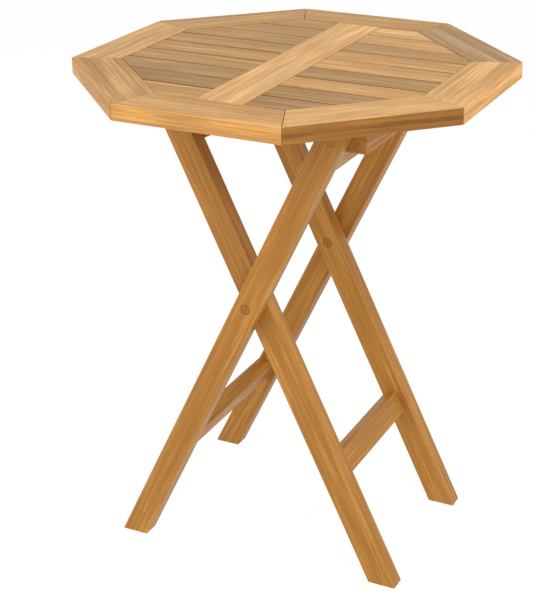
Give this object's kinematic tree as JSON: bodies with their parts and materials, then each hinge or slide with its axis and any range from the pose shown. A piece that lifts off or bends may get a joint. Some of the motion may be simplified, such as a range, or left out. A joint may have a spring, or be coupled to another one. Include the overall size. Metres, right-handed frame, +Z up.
{
  "type": "folding garden table",
  "caption": "Small octagonal slatted wooden table on two crossed leg frames that fold about a common pivot, with a top that tilts up on a hinge.",
  "frame": {"origin": "on the floor under the middle of the table top", "axes": "+Z up, Y along the pivot axis, X across it; the outer frame leans to +X and carries the top's hinge"},
  "size_m": [0.6, 0.6, 0.75],
  "materials": {
    "rim_wood": "satin",
    "rail_wood": "satin",
    "slat_wood": "satin",
    "leg_wood": "satin",
    "beam_wood": "satin",
    "plug_wood": "satin",
    "steel": "brushed"
  },
  "bodies": {
    "outer_frame": {"hinge_plug_far": "plug_wood", "hinge_plug_near": "plug_wood", "hinge_washer_far": "steel", "hinge_washer_near": "steel", "outer_leg_far": "leg_wood", "outer_leg_near": "leg_wood", "outer_pivot_plug_far": "plug_wood", "outer_pivot_plug_near": "plug_wood", "outer_stretcher": "leg_wood", "outer_upper_rail": "leg_wood", "pivot_bolt_far": "steel", "pivot_bolt_near": "steel", "pivot_nut_far": "steel", "pivot_nut_near": "steel", "pivot_washer_far": "steel", "pivot_washer_near": "steel"},
    "inner_frame": {"inner_leg_far": "leg_wood", "inner_leg_near": "leg_wood", "inner_pivot_plug_far": "plug_wood", "inner_pivot_plug_near": "plug_wood", "inner_stretcher": "leg_wood", "inner_upper_rail": "leg_wood"},
    "top": {"beam_screw_1": "steel", "beam_screw_2": "steel", "beam_screw_3": "steel", "beam_screw_4": "steel", "beam_screw_5": "steel", "beam_screw_6": "steel", "catch_beam": "beam_wood", "catch_pad": "beam_wood", "centre_rail": "rail_wood", "hinge_beam": "beam_wood", "hinge_bolt_far": "steel", "hinge_bolt_near": "steel", "rim_board_1": "rim_wood", "rim_board_2": "rim_wood", "rim_board_3": "rim_wood", "rim_board_4": "rim_wood", "rim_board_5": "rim_wood", "rim_board_6": "rim_wood", "rim_board_7": "rim_wood", "rim_board_8": "rim_wood", "slat_left_1": "slat_wood", "slat_left_2": "slat_wood", "slat_left_3": "slat_wood", "slat_left_4": "slat_wood", "slat_left_5": "slat_wood", "slat_left_6": "slat_wood", "slat_left_7": "slat_wood", "slat_left_8": "slat_wood", "slat_left_9": "slat_wood", "slat_right_1": "slat_wood", "slat_right_2": "slat_wood", "slat_right_3": "slat_wood", "slat_right_4": "slat_wood", "slat_right_5": "slat_wood", "slat_right_6": "slat_wood", "slat_right_7": "slat_wood", "slat_right_8": "slat_wood", "slat_right_9": "slat_wood"}
  },
  "joints": [
    {"name": "leg_fold", "type": "hinge", "parent": "outer_frame", "child": "inner_frame", "pos_m": [0, 0, 0.4254], "axis": [0, 1, 0], "range_deg": [0, 40]},
    {"name": "top_tilt", "type": "hinge", "parent": "outer_frame", "child": "top", "pos_m": [0.13022, 0, 0.69497], "axis": [0, 1, 0], "range_deg": [0, 36]}
  ]
}
